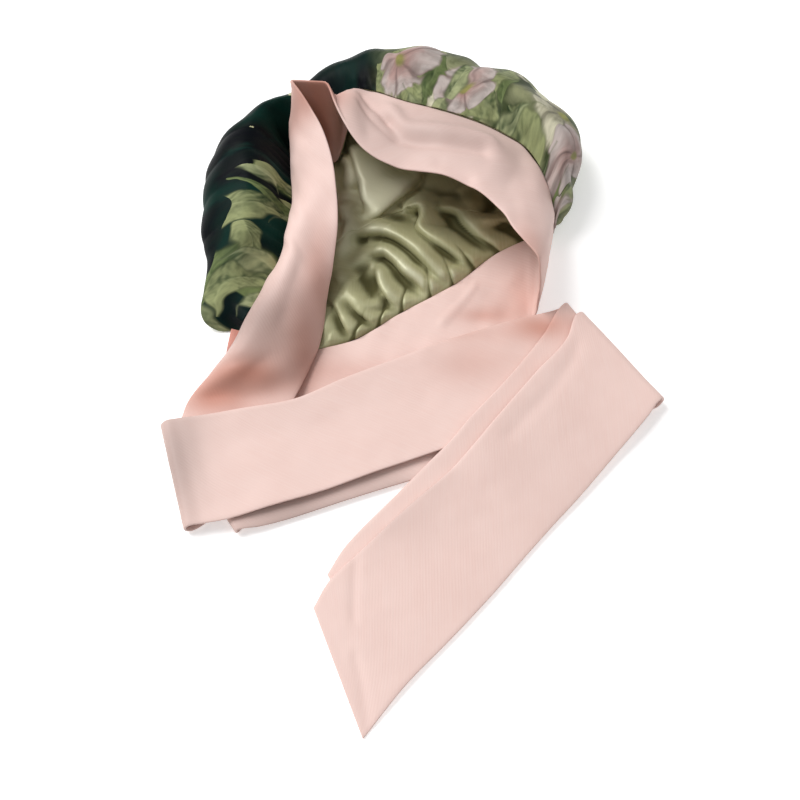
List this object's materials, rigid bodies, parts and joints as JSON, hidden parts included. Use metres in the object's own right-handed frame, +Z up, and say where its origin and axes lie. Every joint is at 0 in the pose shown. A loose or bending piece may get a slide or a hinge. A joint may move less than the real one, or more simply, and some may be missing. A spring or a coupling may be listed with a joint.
{
  "type": "sleep bonnet",
  "caption": "Puffed satin sleep bonnet lying with its mouth to the front, with a lining, a wide face band round the mouth, and long ties laid back and forth before it.",
  "frame": {"origin": "on the surface it lies on, under the middle of its bounding box", "axes": "+Z up off the surface, +Y from the ends of the ties towards the back of the crown, +X to the wearer's side that shows on the right with the mouth towards -Y"},
  "size_m": [0.346, 0.5386, 0.0744],
  "materials": {
    "print_satin": "satin with a dark leaf and blossom print",
    "sage_satin": "glossy sage satin",
    "blush_satin": "soft blush satin with a fine twill",
    "coral_satin": "gathered coral seam allowance"
  },
  "bodies": {
    "root": {"crown": "print_satin", "lining": "sage_satin", "band": "blush_satin", "tie_left": "blush_satin", "tie_right": "blush_satin", "seam_tab": "coral_satin"}
  },
  "joints": []
}
